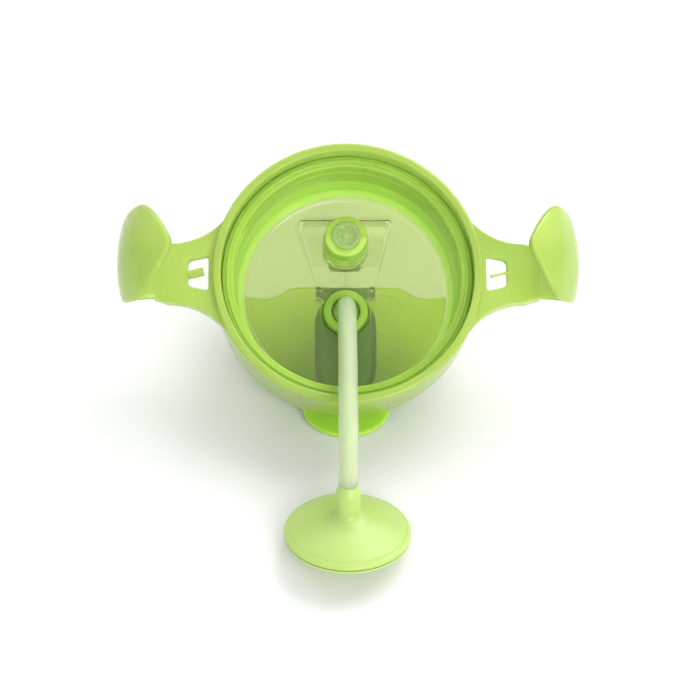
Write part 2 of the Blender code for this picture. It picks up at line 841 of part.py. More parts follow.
def lid_to_ground(y, z):
    """Ground-frame place of a lid-frame point on the middle plane."""
    turned_about_x = Matrix.Rotation(LEAN, 3, "X") @ Vector((0, y, z))
    return turned_about_x + Vector((0, DECK_Y, DECK_HEIGHT))


def frame_empty(name, location, rotation=(0, 0, 0), parent=None):
    empty = bpy.data.objects.new(name, None)
    empty.empty_display_size = 0.01
    return place(empty, parts, parent, location, rotation)


clear_scene()
parts = new_collection("trainer_cup_lid")
cutters = new_collection("cutters")

lid_frame = frame_empty("lid_frame", (0, DECK_Y, DECK_HEIGHT), (LEAN, 0, 0))
straw_pivot = frame_empty("straw_pivot", lid_to_ground(BOSS_Y, STRAW_PIVOT_Z))
bpy.context.view_layer.update()
weight_place = Vector((WEIGHT_X, WEIGHT_Y, WEIGHT_HEIGHT)) - straw_pivot.matrix_world.translation
weight_frame = frame_empty("weight_frame", weight_place, (-WEIGHT_TILT, 0, 0), straw_pivot)
bpy.context.view_layer.update()

build_lid_shell(plastic("lid_plastic", (0.42, 0.66, 0.10), 0.25, 0.55))
build_handle_ring(plastic("handle_plastic", (0.40, 0.66, 0.08), 0.28, 0.60))
build_flip_cover(plastic("cover_plastic", (0.36, 0.62, 0.07), 0.25, 0.60))
build_mouth_straw(plastic("mouthpiece_silicone", (0.80, 0.88, 0.72), 0.45))
build_straw_connector(plastic("connector_plastic", (0.45, 0.70, 0.15), 0.35))
build_vent_valve(plastic("valve_silicone", (0.55, 0.78, 0.30), 0.40))
build_straw_tube(plastic("clear_silicone", (0.80, 0.86, 0.76), 0.25, 0.45))
build_weight(
    plastic("weight_plastic", (0.56, 0.80, 0.25), 0.35),
    plastic("weight_steel", (0.55, 0.56, 0.57), 0.35, metallic=1.0),
)
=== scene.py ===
"""Looks of a weighted-straw trainer cup's lid assembly, lying upside down on a pale floor.

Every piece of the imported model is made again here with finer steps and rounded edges, in the same
place and at the same size. Pieces of the lid are drawn in the lid's own frame: its origin is the
middle of the deck's inner face, +X points to a grip, +Y to the vent stub and +Z to the open side.
"""

import json
import math

import bmesh
import bpy
from mathutils import Euler, Matrix, Vector


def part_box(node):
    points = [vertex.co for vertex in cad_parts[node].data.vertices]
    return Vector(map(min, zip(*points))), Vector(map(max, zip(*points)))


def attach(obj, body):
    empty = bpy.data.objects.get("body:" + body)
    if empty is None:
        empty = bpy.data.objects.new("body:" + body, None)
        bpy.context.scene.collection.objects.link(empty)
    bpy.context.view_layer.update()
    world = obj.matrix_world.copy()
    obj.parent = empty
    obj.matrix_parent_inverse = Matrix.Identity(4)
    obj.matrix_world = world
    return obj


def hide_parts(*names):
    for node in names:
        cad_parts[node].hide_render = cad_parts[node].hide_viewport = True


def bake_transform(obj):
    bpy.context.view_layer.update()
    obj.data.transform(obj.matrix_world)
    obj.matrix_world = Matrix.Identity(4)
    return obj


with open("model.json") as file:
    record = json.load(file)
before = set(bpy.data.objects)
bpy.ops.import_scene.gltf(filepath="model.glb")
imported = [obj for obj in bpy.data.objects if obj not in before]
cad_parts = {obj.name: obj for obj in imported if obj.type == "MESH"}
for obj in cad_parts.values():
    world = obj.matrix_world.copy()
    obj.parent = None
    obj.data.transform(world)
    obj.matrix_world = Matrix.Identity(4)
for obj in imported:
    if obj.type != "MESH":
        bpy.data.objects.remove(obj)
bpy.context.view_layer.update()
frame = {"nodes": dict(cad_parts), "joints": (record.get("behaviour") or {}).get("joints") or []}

# Sizes of the lid shell (metres)
WALL = 0.0015
LID_RIM_Z = 0.0225
LID_RIM_INNER = 0.0342
LID_RIM_OUTER = 0.0374
SNAP_Z = 0.0124

BOSS_Y = -0.0057
BOSS_OUTER = 0.0075
BOSS_BORE = 0.00445
BOSS_TOP = 0.0030
BOSS_BORE_FLOOR = 0.0004
DECK_HOLE = 0.0040

STUB_Y = 0.0160
STUB_FOOT_RADIUS = 0.0073
STUB_STEP_RADIUS = 0.0069
STUB_TOP_RADIUS = 0.0065
STUB_STEP_Z = 0.0055
STUB_TOP = 0.0102
STUB_BORE = 0.0040
STUB_BORE_FLOOR = 0.0020
VALVE_FLANGE = 0.0044
VALVE_TOP = STUB_TOP + 0.0009
VALVE_GROOVE = 0.0005
VENT_HOLE = 0.0009
PAD_FAR_Y = 0.0258
PAD_FAR_HALF = 0.0157
PAD_NEAR_RADIUS = 0.0077
PAD_DEPTH = 0.0005
PAD_SLOPE_START = 0.0080
PAD_SLOPE_DEPTH = 0.0075

# Sizes of the handle ring
RING_OUTER = 0.0403
RING_FOOT = 0.0397
RING_INNER = LID_RIM_OUTER + 0.00035
RING_TOP = 0.0270
RING_BOTTOM = 0.0056
ARM_HALF = 0.0092
ARM_END = 0.0575
ARM_FILLET = 0.0210
ARM_FILLET_X = 0.0530
ARM_TOP = 0.0246
ARM_WEB = 0.0022
ARM_DEPTH = 0.0039
ARM_EDGE = 0.0013
WINDOW_NEAR, WINDOW_FAR = 0.0415, 0.0475
WINDOW_NEAR_HALF, WINDOW_FAR_HALF = 0.0053, 0.0040
GRIP_THICKNESS = 0.0023
GRIP_ROOT_HALF = 0.0078
GRIP_HALF = 0.0141
GRIP_CROWN = 0.0026
GRIP_WIDEST_AT = 0.72
GRIP_SPINE = ((0.0555, 0.0236), (0.0712, 0.0236), (0.0706, 0.0476), (0.0507, 0.0556))

# Sizes of the flip cover
PLATE_TOP = -0.0023
PLATE_BOTTOM = -0.0039
PLATE_RADIUS = 0.0322
PLATE_EDGE_HIGH = 0.0031
PLATE_EDGE_LOW = -0.0006
TAB_START_Y, TAB_END_Y = -0.0290, -0.0452
TAB_HALF = 0.0133
TAB_STRAIGHT = 0.40
TAB_LIFT = 0.0058
TAB_THICKNESS = 0.0016
PLAQUE_HALF, PLAQUE_HALF_HEIGHT = 0.0175, 0.0052
PLAQUE_Y = -0.0044
PLAQUE_RELIEF = 0.0005
HINGE_Y, HINGE_Z = 0.0013, -0.0049
BARREL_RADIUS = 0.0018
BARREL_HALF = 0.0072
PIN_RADIUS = 0.0010
EAR_THICKNESS = 0.0019
EAR_HALF = 0.0022
GAP = 0.0003
HOOD_HALF = 0.0096
HOOD_REAR_Y = -0.0085
HOOD_NEAR_Y = -0.0226
HOOD_WALL = 0.0015
HOOD_EDGE = 0.0030
HOOD_DRAFT = 0.0007

# Sizes of the spout, connector, drop straw and weight
MOUTH_PIVOT_Z = -0.0069
MOUTH_BALL = 0.0035
MOUTH_RADIUS = 0.0030
MOUTH_BORE = 0.0016
MOUTH_LENGTH = 0.0170
MOUTH_FOLD = math.radians(93)
CONNECTOR_TOP = 0.0012
CONNECTOR_BOTTOM = -0.0030
CONNECTOR_FLANGE = 0.0044
STRAW_PIVOT_Z = 0.0045
TUBE_DIAMETER = 0.0057
TUBE_BORE_RADIUS = 0.00175
WEIGHT_RADIUS = 0.01825
WEIGHT_TILT = math.radians(15)
WEIGHT_SEAM = -0.0012
WEIGHT_RIM = -0.0002
WEIGHT_CROWN = 0.0052
WEIGHT_LOWEST = -0.0056
WEIGHT_CAP_RADIUS = 0.050
WEIGHT_SEAT = 0.0150
WEIGHT_WALL = 0.0012
WEIGHT_ROOF = 0.0009
STEM_RADIUS = 0.0036
STEM_TOP = 0.0158
STEM_BORE = 0.0015

# The drop straw's route, as in the CAD model
STRAW_ROUTE = (
    (0.0, 0.00106, 0.02235),
    (0.0, -0.0005, 0.02505),
    (0.0, -0.0030, 0.0278),
    (0.0, -0.0068, 0.0297),
    (0.0, -0.0120, 0.0306),
    (-0.0001, -0.0200, 0.0308),
    (-0.0002, -0.0300, 0.0305),
    (-0.0004, -0.0400, 0.0305),
    (-0.0005, -0.0500, 0.0308),
    (-0.0006, -0.0572, 0.0309),
    (-0.0007, -0.0625, 0.0296),
    (-0.0007, -0.0663, 0.0268),
    (-0.0007, -0.06846, 0.0247),
    (-0.0007, -0.0690, 0.0228),
)

# How far cutters reach past what they cut
CLEAR = 0.0200

# How finely things are drawn
ROUND_STEPS = 96
ROD_STEPS = 40
LID_STEPS = 192
WEIGHT_STEPS = 144
TUBE_STEPS, TUBE_AROUND = 110, 40
SMOOTH_ANGLE = math.radians(32)
WELD = 0.000002

# Materials: indices of refraction, scattering, and the scales and usual range of the noises
PLASTIC_IOR, SILICONE_IOR, CLEAR_IOR = 1.49, 1.41, 1.18
SCATTER_RADIUS = (0.7, 1.0, 0.3)
SCATTER_DEPTH = 0.003
DRIFT_SCALE, GLOSS_SCALE, GRAIN_SCALE = 55, 140, 900
NOISE_LOW, NOISE_HIGH = 0.3, 0.7
GRAIN_DEPTH = 0.0002

# The studio; a light is its name, place, diameter and power
CAMERA_LENS = 102.857
CAMERA_PLACE = (-0.01745, -0.4355, 0.4544)
CAMERA_PITCH, CAMERA_ROLL = math.radians(44.13), math.radians(-1.742)
SKY_STRENGTH = 0.74
LIGHT_AIM = (0, 0, 0.02)
LIGHTS = (
    ("key", (0.60, 0.70, 1.10), 1.3, 15.0),
    ("rim", (-0.65, 0.75, 1.10), 1.3, 3.0),
    ("front", (0.50, -1.05, 0.55), 0.9, 10.0),
)
FLOOR_SIZE = 8


# ---------------------------------------------------------------- where things are


def lid_matrix():
    """The lid's frame, from the swivel's axis and the point where the straw pivots on it."""
    swivel = next(joint for joint in frame["joints"] if joint["name"] == "connector_swivel")
    up = Vector(swivel["axis"])
    lean = Matrix.Rotation(math.atan2(-up.y, up.z), 4, "X")
    return Matrix.Translation(swivel["pos_m"]) @ lean @ Matrix.Translation((0, -BOSS_Y, -STRAW_PIVOT_Z))


def weight_matrix():
    """The weight's frame, from the box of its upper half, whose round rim reaches furthest."""
    low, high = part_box("weight_cap")
    lean_y, lean_z = math.sin(WEIGHT_TILT), math.cos(WEIGHT_TILT)
    middle = Vector((
        (low.x + high.x) / 2,
        (low.y + high.y) / 2 - (WEIGHT_SEAM + WEIGHT_RIM) / 2 * lean_y,
        low.z + WEIGHT_RADIUS * lean_y - WEIGHT_SEAM * lean_z,
    ))
    return Matrix.Translation(middle) @ Matrix.Rotation(-WEIGHT_TILT, 4, "X")


LID = lid_matrix()
LEAN = math.atan2(LID[2][1], LID[2][2])
DECK_HEIGHT = LID.translation.z
WEIGHT = weight_matrix()


# ---------------------------------------------------------------- building blocks


def shape_object(shape):
    """A bmesh as an object in the scene, its faces pointing out."""
    bmesh.ops.recalc_face_normals(shape, faces=shape.faces)
    mesh = bpy.data.meshes.new("shape")
    shape.to_mesh(mesh)
    shape.free()
    obj = bpy.data.objects.new("shape", mesh)
    bpy.context.scene.collection.objects.link(obj)
    return obj


def settle(obj):
    """Puts the object's modifiers, or its curve, into a plain mesh."""
    bpy.context.view_layer.update()
    graph = bpy.context.evaluated_depsgraph_get()
    mesh = bpy.data.meshes.new_from_object(obj.evaluated_get(graph))
    mesh.transform(obj.matrix_world)
    name = obj.name
    bpy.data.objects.remove(obj, do_unlink=True)
    settled = bpy.data.objects.new(name, mesh)
    bpy.context.scene.collection.objects.link(settled)
    return settled


def rounded(corners, closed=True, steps=6):
    """The outline through (x, y) or (x, y, radius) corners, each radius turned into an arc."""
    outline = []
    count = len(corners)
    for i, corner in enumerate(corners):
        here = Vector(corner[:2])
        radius = corner[2] if len(corner) > 2 else 0.0
        if radius <= 0 or (not closed and i in (0, count - 1)):
            outline.append(here)
            continue
        before = (Vector(corners[i - 1][:2]) - here).normalized()
        after = (Vector(corners[(i + 1) % count][:2]) - here).normalized()
        half = before.angle(after) / 2
        middle = here + (before + after).normalized() * (radius / math.sin(half))
        start = here + before * (radius / math.tan(half)) - middle
        end = here + after * (radius / math.tan(half)) - middle
        turn = start.angle_signed(end)
        for k in range(steps + 1):
            arm = start.copy()
            arm.rotate(Matrix.Rotation(-turn * k / steps, 2))
            outline.append(middle + arm)
    return outline


def turned(profile, closed=True, steps=ROUND_STEPS):
    """A solid of revolution about Z through (radius, z) points; an open profile ends on the axis."""
    on_axis = 1e-7
    shape = bmesh.new()
    rings = []
    for radius, z in profile:
        if radius < on_axis:
            rings.append([shape.verts.new((0, 0, z))])
            continue
        turns = [2 * math.pi * k / steps for k in range(steps)]
        rings.append([shape.verts.new((radius * math.cos(a), radius * math.sin(a), z)) for a in turns])
    for a, b in zip(rings, rings[1:] + rings[:1] if closed else rings[1:]):
        for k in range(steps):
            m = (k + 1) % steps
            corners = [a[k % len(a)], b[k % len(b)], b[m % len(b)], a[m % len(a)]]
            corners = [v for i, v in enumerate(corners) if v not in corners[:i]]
            if len(corners) > 2:
                shape.faces.new(corners)
    return shape_object(shape)


def box(x0, x1, y0, y1, z0, z1, soften=0.0):
    """A box between two corners, its edges rounded by soften."""
    shape = bmesh.new()
    bmesh.ops.create_cube(shape, size=1)
    size = Matrix.Diagonal((x1 - x0, y1 - y0, z1 - z0, 1))
    centre = Matrix.Translation(((x0 + x1) / 2, (y0 + y1) / 2, (z0 + z1) / 2))
    bmesh.ops.transform(shape, matrix=centre @ size, verts=shape.verts)
    if soften:
        bmesh.ops.bevel(
            shape, geom=list(shape.edges), offset=soften, segments=3, profile=0.5, affect="EDGES"
        )
    return shape_object(shape)


def rod(radius, half_length):
    """A cylinder along X about the origin, its two edges rounded."""
    edge = 0.0002
    corners = [(0, half_length), (radius, half_length, edge), (radius, -half_length, edge)]
    profile = rounded([*corners, (0, -half_length)], closed=False, steps=4)
    obj = turned(profile, closed=False, steps=ROD_STEPS)
    obj.data.transform(Matrix.Rotation(math.radians(90), 4, "Y"))
    return obj


def plate(outline, bottom, top, soften=0.0):
    """A flat slab between two heights, its edges rounded inwards by soften."""
    curve = bpy.data.curves.new("outline", "CURVE")
    curve.dimensions = "2D"
    curve.fill_mode = "BOTH"
    curve.extrude = (top - bottom) / 2 - soften
    curve.bevel_depth = soften
    curve.offset = -soften
    curve.bevel_resolution = 3
    spline = curve.splines.new("POLY")
    spline.points.add(len(outline) - 1)
    for point, corner in zip(spline.points, outline):
        point.co = (corner[0], corner[1], 0, 1)
    spline.use_cyclic_u = True
    obj = bpy.data.objects.new("outline", curve)
    bpy.context.scene.collection.objects.link(obj)
    obj.location.z = (top + bottom) / 2
    slab = settle(obj)
    shape = bmesh.new()
    shape.from_mesh(slab.data)
    bmesh.ops.remove_doubles(shape, verts=shape.verts, dist=WELD)
    bmesh.ops.recalc_face_normals(shape, faces=shape.faces)
    shape.to_mesh(slab.data)
    shape.free()
    return slab


def loft(rings, ends="faces"):
    """A closed skin over rings that each have the same number of points."""
    shape = bmesh.new()
    loops = [[shape.verts.new(point) for point in ring] for ring in rings]
    pairs = list(zip(loops, loops[1:]))
    if ends == "joined":
        pairs.append((loops[-1], loops[0]))
    for lower, upper in pairs:
        for i in range(len(lower)):
            j = (i + 1) % len(lower)
            shape.faces.new((lower[i], lower[j], upper[j], upper[i]))
    if ends == "faces":
        shape.faces.new(loops[0][::-1])
        shape.faces.new(loops[-1])
    return shape_object(shape)


def leaf(stations, thickness, across_axis, crown_axis):
    """A thin wall with a full round rim, lofted over stations of (middle, normal, half width, crown)."""
    across, rim, roundest = 20, 6, 0.8
    rings = []
    for middle, normal, half, crown in stations:
        radius = min(thickness / 2, roundest * half)
        straight = half - radius
        section = [(straight * (2 * k / across - 1), radius) for k in range(across + 1)]
        for k in range(1, rim):
            angle = math.pi * (0.5 - k / rim)
            section.append((straight + radius * math.cos(angle), radius * math.sin(angle)))
        section += [(-x, -y) for x, y in section]
        rings.append([
            middle + across_axis * a + normal * b - crown_axis * (crown * (a / half) ** 2)
            for a, b in section
        ])
    return loft(rings)


def boolean(target, other, operation):
    """The target joined with the other, or cut by it. The other is used up."""
    modifier = target.modifiers.new("Boolean", "BOOLEAN")
    modifier.operation = operation
    modifier.object = other
    settled = settle(target)
    bpy.data.objects.remove(other, do_unlink=True)
    return settled


def join(target, *others):
    for other in others:
        target = boolean(target, other, "UNION")
    return target


def cut(target, *others):
    for other in others:
        target = boolean(target, other, "DIFFERENCE")
    return target


def moved(obj, place):
    obj.data.transform(place)
    return obj


def at(x, y, z):
    return Matrix.Translation((x, y, z))


def piece(obj, name, material, body, slot, place, *nodes):
    """A finished piece: placed, shaded smooth, and standing for its CAD nodes on their body."""
    obj.name = obj.data.name = name
    obj.data.transform(place)
    obj.data.materials.clear()
    obj.data.materials.append(material)
    for face in obj.data.polygons:
        face.material_index = 0
    obj.data.shade_smooth()
    obj.data.set_sharp_from_angle(angle=SMOOTH_ANGLE)
    normals = obj.modifiers.new("Flat faces stay flat", "WEIGHTED_NORMAL")
    normals.keep_sharp = True
    obj = settle(obj)
    if body:
        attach(obj, body)
    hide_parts(*nodes)
    return obj


# ---------------------------------------------------------------- materials


def noise(nodes, links, scale, detail):
    """A noise that stays with the object."""
    place = nodes.new("ShaderNodeTexCoord")
    texture = nodes.new("ShaderNodeTexNoise")
    texture.inputs["Scale"].default_value = scale
    texture.inputs["Detail"].default_value = detail
    links.new(place.outputs["Object"], texture.inputs["Vector"])
    return texture.outputs["Fac"]


def drifting(nodes, links, scale, detail, low, high):
    """A value that drifts slowly between low and high."""
    spread = nodes.new("ShaderNodeMapRange")
    spread.inputs["From Min"].default_value = NOISE_LOW
    spread.inputs["From Max"].default_value = NOISE_HIGH
    spread.inputs["To Min"].default_value = low
    spread.inputs["To Max"].default_value = high
    links.new(noise(nodes, links, scale, detail), spread.inputs["Value"])
    return spread.outputs["Result"]


def moulded(
    name, colour, deeper, roughness, transmission=0.0, ior=PLASTIC_IOR, subsurface=0.0, grain=0.02
):
    """Moulded plastic or silicone: slow drifts of colour and gloss, and a faint uneven skin.

    colour and deeper are linear; the wall drifts between them as the resin's thickness does."""
    material = bpy.data.materials.new(name)
    material.use_nodes = True
    nodes, links = material.node_tree.nodes, material.node_tree.links
    shader = nodes["Principled BSDF"]
    shader.inputs["Transmission Weight"].default_value = transmission
    shader.inputs["IOR"].default_value = ior
    if subsurface:
        shader.inputs["Subsurface Weight"].default_value = subsurface
        shader.inputs["Subsurface Radius"].default_value = SCATTER_RADIUS
        shader.inputs["Subsurface Scale"].default_value = SCATTER_DEPTH

    drift = nodes.new("ShaderNodeMix")
    drift.data_type = "RGBA"
    drift.inputs["A"].default_value = (*colour, 1)
    drift.inputs["B"].default_value = (*deeper, 1)
    links.new(drifting(nodes, links, DRIFT_SCALE, 2.0, 0.0, 1.0), drift.inputs["Factor"])
    links.new(drift.outputs["Result"], shader.inputs["Base Color"])

    smoother, rougher = roughness * 0.85, roughness * 1.2
    gloss = drifting(nodes, links, GLOSS_SCALE, 4.0, smoother, rougher)
    links.new(gloss, shader.inputs["Roughness"])

    bump = nodes.new("ShaderNodeBump")
    bump.inputs["Strength"].default_value = grain
    bump.inputs["Distance"].default_value = GRAIN_DEPTH
    links.new(noise(nodes, links, GRAIN_SCALE, 2.0), bump.inputs["Height"])
    links.new(bump.outputs["Normal"], shader.inputs["Normal"])
    return material


def rise_over_deck(material, start, end):
    """A factor that goes from 0 at the first height over the lid's deck to 1 at the second."""
    nodes, links = material.node_tree.nodes, material.node_tree.links
    up = LID.to_3x3().col[2]
    place = nodes.new("ShaderNodeTexCoord")
    height = nodes.new("ShaderNodeVectorMath")
    height.operation = "DOT_PRODUCT"
    height.inputs[1].default_value = up
    links.new(place.outputs["Object"], height.inputs[0])
    deck = LID.translation.dot(up)
    rise = nodes.new("ShaderNodeMapRange")
    rise.interpolation_type = "SMOOTHSTEP"
    rise.inputs["From Min"].default_value = deck + start
    rise.inputs["From Max"].default_value = deck + end
    links.new(height.outputs["Value"], rise.inputs["Value"])
    return rise.outputs["Result"]


def deepen(material, colour, transmission, *zones):
    """Turns a resin deeper and cloudier over given heights: on the lid where its walls are steep or thick,
    and on the cover's hood as painted light that stands in for the light its hollow lacks.

    Each zone is the height over the lid's deck where the change starts and where it is full."""
    nodes, links = material.node_tree.nodes, material.node_tree.links
    shader = nodes["Principled BSDF"]
    factor = rise_over_deck(material, *zones[0])
    for zone in zones[1:]:
        both = nodes.new("ShaderNodeMath")
        links.new(factor, both.inputs[0])
        links.new(rise_over_deck(material, *zone), both.inputs[1])
        factor = both.outputs["Value"]
    deeper = nodes.new("ShaderNodeMix")
    deeper.data_type = "RGBA"
    deeper.inputs["B"].default_value = (*colour, 1)
    links.new(factor, deeper.inputs["Factor"])
    links.new(shader.inputs["Base Color"].links[0].from_socket, deeper.inputs["A"])
    links.new(deeper.outputs["Result"], shader.inputs["Base Color"])
    cloudier = nodes.new("ShaderNodeMapRange")
    cloudier.inputs["To Min"].default_value = shader.inputs["Transmission Weight"].default_value
    cloudier.inputs["To Max"].default_value = transmission
    links.new(factor, cloudier.inputs["Value"])
    links.new(cloudier.outputs["Result"], shader.inputs["Transmission Weight"])


def brushed_steel(name):
    """Grey metal, for the ring inside the weight."""
    material = moulded(name, (0.55, 0.56, 0.57), (0.48, 0.49, 0.50), 0.32)
    shader = material.node_tree.nodes["Principled BSDF"]
    shader.inputs["Metallic"].default_value = 1.0
    return material


def floor_material():
    """A matt pale floor, without grain or mirror shine."""
    material = moulded("pale_floor", (0.80, 0.80, 0.80), (0.79, 0.79, 0.79), 0.9, grain=0.0)
    material.node_tree.nodes["Principled BSDF"].inputs["Specular IOR Level"].default_value = 0.0
    return material


# ---------------------------------------------------------------- lid shell


def lid_profile():
    """From the deck's middle up the inside to the rim, and down the outside under the deck."""
    tip = 0.0002
    groove = 0.0005
    corners = [
        (0, 0),
        (0.0310, 0, 0.0016),
        (0.0332, 0.0042, 0.0024),
        (0.0343, 0.0090, 0.0020),
        (0.0346, 0.0150, tip),
        (0.0341, 0.0157, tip),
        (0.0341, 0.0165, tip),
        (0.0346, 0.0172, tip),
        (0.0346, 0.0196, tip),
        (LID_RIM_INNER, 0.0205, tip),
        (LID_RIM_INNER, LID_RIM_Z, 0.0003),
        (0.0354, LID_RIM_Z, 0.0001),
        (0.0355, LID_RIM_Z + 0.0006, tip),
        (0.0363, LID_RIM_Z + 0.0006, tip),
        (0.0364, LID_RIM_Z, 0.0001),
        (LID_RIM_OUTER, LID_RIM_Z, 0.0003),
        (LID_RIM_OUTER, SNAP_Z + 0.0009, tip),
        (LID_RIM_OUTER - groove, SNAP_Z + 0.0004, tip),
        (LID_RIM_OUTER - groove, SNAP_Z - 0.0004, tip),
        (LID_RIM_OUTER, SNAP_Z - 0.0009, tip),
        (LID_RIM_OUTER, 0.0092, 0.0006),
        (0.0360, 0.0068, 0.0018),
        (0.0348, 0.0010, 0.0030),
        (0.0322, -WALL, 0.0018),
        (0, -WALL),
    ]
    return rounded(corners, closed=False, steps=5)


def pad_outline(grown):
    """The trapezoid that narrows to a half circle round the boss, counter-clockwise."""
    radius = PAD_NEAR_RADIUS + grown
    circle = [
        (radius * math.cos(math.radians(angle)), BOSS_Y + radius * math.sin(math.radians(angle)))
        for angle in range(-195, 16, 6)
    ]
    far_y, far_half = PAD_FAR_Y - WALL + grown, PAD_FAR_HALF - 0.0008 + grown
    return rounded([*circle, (far_half, far_y, 0.0014), (-far_half, far_y, 0.0014)])


def pad_tray():
    """Cuts the pad's shallow floor, with a sloping edge that catches the light."""
    levels = [(-0.00015, -PAD_DEPTH), (0.0, -PAD_DEPTH + 0.00012), (0.0002, 0.00002), (0.0002, WALL)]
    return loft([[(x, y, z) for x, y in pad_outline(grown)] for grown, z in levels])


def pad_wedge(inset, top):
    """The deep part of the pad, whose floor falls away from the boss."""
    slope = PAD_SLOPE_DEPTH / (PAD_FAR_Y - PAD_SLOPE_START)
    far_y = PAD_FAR_Y - inset
    near_y = PAD_SLOPE_START + inset
    taper = (PAD_FAR_HALF - PAD_NEAR_RADIUS) / (PAD_FAR_Y - BOSS_Y)

    def half_at(y):
        return PAD_FAR_HALF - taper * (PAD_FAR_Y - y) - inset

    soften = 0.0014 if inset else 0.0022
    footprint = rounded([
        (half_at(near_y), near_y),
        (half_at(far_y), far_y, soften),
        (-half_at(far_y), far_y, soften),
        (-half_at(near_y), near_y),
    ])
    outside = WALL if inset == 0 else 0.0
    floor = [(x, y, -slope * (y - PAD_SLOPE_START) - outside) for x, y in footprint]
    roof = [(x, y, top) for x, y in footprint]
    return loft([floor, roof])


def stub_profile():
    """The vent stub, in two slightly drafted steps."""
    foot = -0.0045
    corners = [
        (0, STUB_TOP),
        (STUB_TOP_RADIUS, STUB_TOP, 0.0006),
        (STUB_STEP_RADIUS - 0.0001, STUB_STEP_Z + 0.0003, 0.0002),
        (STUB_STEP_RADIUS + 0.00015, STUB_STEP_Z - 0.0001, 0.0002),
        (STUB_FOOT_RADIUS, foot),
        (0, foot),
    ]
    return rounded(corners, closed=False)


def boss_profile():
    """The straw boss, with a small fillet where it meets the pad."""
    foot, root = -WALL / 2, 0.0005
    corners = [
        (0, BOSS_TOP),
        (BOSS_OUTER - 0.0008, BOSS_TOP, 0.0006),
        (BOSS_OUTER - 0.0003, -PAD_DEPTH, root),
        (BOSS_OUTER + 0.0004, -PAD_DEPTH - 0.0001),
        (BOSS_OUTER + 0.0004, foot),
        (0, foot),
    ]
    return rounded(corners, closed=False)


def hinge_ear(side):
    """One of the two ears under the deck that hold the cover's pins."""
    centre = side * (BARREL_HALF + GAP + EAR_THICKNESS / 2)
    foot, tip = -WALL + 0.0005, HINGE_Z - BARREL_RADIUS
    corners = [
        (HINGE_Y - EAR_HALF, foot),
        (PLATE_EDGE_HIGH, foot),
        (PLATE_EDGE_HIGH, tip, 0.0015),
        (HINGE_Y - EAR_HALF, tip, BARREL_RADIUS),
    ]
    ear = plate(rounded(corners), -EAR_THICKNESS / 2, EAR_THICKNESS / 2, 0.0002)
    return moved(ear, Matrix(((0, 0, 1, centre), (1, 0, 0, 0), (0, 1, 0, 0), (0, 0, 0, 1))))


def stepped_bore(radius, floor, mouth, hole):
    """The cutter of a socket: a rounded mouth, a flat floor and a smaller hole through it."""
    lip = 0.0003
    corners = [
        (0, CLEAR),
        (radius + 4 * lip, CLEAR),
        (radius + 4 * lip, mouth + lip),
        (radius, mouth - lip, lip),
        (radius, floor, 0.0002),
        (hole, floor),
        (hole, -CLEAR),
        (0, -CLEAR),
    ]
    return turned(rounded(corners, closed=False, steps=4), closed=False)


def build_lid_shell(material):
    shell = turned(lid_profile(), closed=False, steps=LID_STEPS)
    shell = join(shell, pad_wedge(0.0, -WALL / 2))
    shell = cut(shell, pad_tray(), pad_wedge(WALL, WALL))
    overlap, rib_half, rib_top = 0.0005, 0.0002, 0.0004
    near_y = BOSS_Y + BOSS_OUTER - overlap
    far_y = STUB_Y - STUB_FOOT_RADIUS + overlap
    ribs = [
        box(x - rib_half, x + rib_half, near_y, far_y, -WALL / 2, rib_top) for x in (-0.0008, 0.0008)
    ]
    shell = join(
        shell,
        moved(turned(stub_profile(), closed=False), at(0, STUB_Y, 0)),
        moved(turned(boss_profile(), closed=False), at(0, BOSS_Y, 0)),
        *ribs,
        hinge_ear(1),
        hinge_ear(-1),
    )
    shell = cut(
        shell,
        moved(stepped_bore(STUB_BORE, STUB_BORE_FLOOR, STUB_TOP, VENT_HOLE), at(0, STUB_Y, 0)),
        moved(stepped_bore(BOSS_BORE, BOSS_BORE_FLOOR, BOSS_TOP, DECK_HOLE), at(0, BOSS_Y, 0)),
        moved(rod(PIN_RADIUS + GAP, CLEAR), at(0, HINGE_Y, HINGE_Z)),
    )
    return piece(shell, "lid_shell_skin", material, "lid", "lid_plastic", LID, "lid_shell")


# ---------------------------------------------------------------- handle ring


def ring_profile():
    """The ring's wall, with the small bead inside that clicks into the lid's groove."""
    lip = 0.0004
    bead, bead_half, bead_depth = 0.0002, 0.0007, 0.0005
    corners = [
        (RING_INNER, RING_TOP, lip),
        (RING_OUTER, RING_TOP, 2 * lip),
        (RING_FOOT, RING_BOTTOM, lip),
        (RING_INNER, RING_BOTTOM, bead),
        (RING_INNER, SNAP_Z - bead_half, bead),
        (RING_INNER - bead_depth, SNAP_Z, bead),
        (RING_INNER, SNAP_Z + bead_half, bead),
    ]
    return rounded(corners, steps=5)


def arm_outline(side, inset):
    """One arm from inside the ring's wall to its grip, flared where it meets the ring."""
    radius = ARM_FILLET + inset
    centre = Vector((ARM_FILLET_X, ARM_HALF + ARM_FILLET))
    from_ring = math.atan2(-centre.y, -centre.x)
    to_arm = -math.pi / 2
    steps = 24
    arc = []
    for k in range(steps + 1):
        angle = from_ring + (to_arm - from_ring) * k / steps
        arc.append((centre.x + radius * math.cos(angle), centre.y + radius * math.sin(angle)))
    in_wall = RING_INNER + 0.0009
    root = [(in_wall * math.cos(a), in_wall * math.sin(a)) for a in (0.0, 0.16, 0.32, 0.46)]
    half = [*root, *arc, (ARM_END - inset, GRIP_ROOT_HALF - inset)]
    outline = half + [(x, -y) for x, y in reversed(half[1:])]
    return [(side * x, y) for x, y in outline]


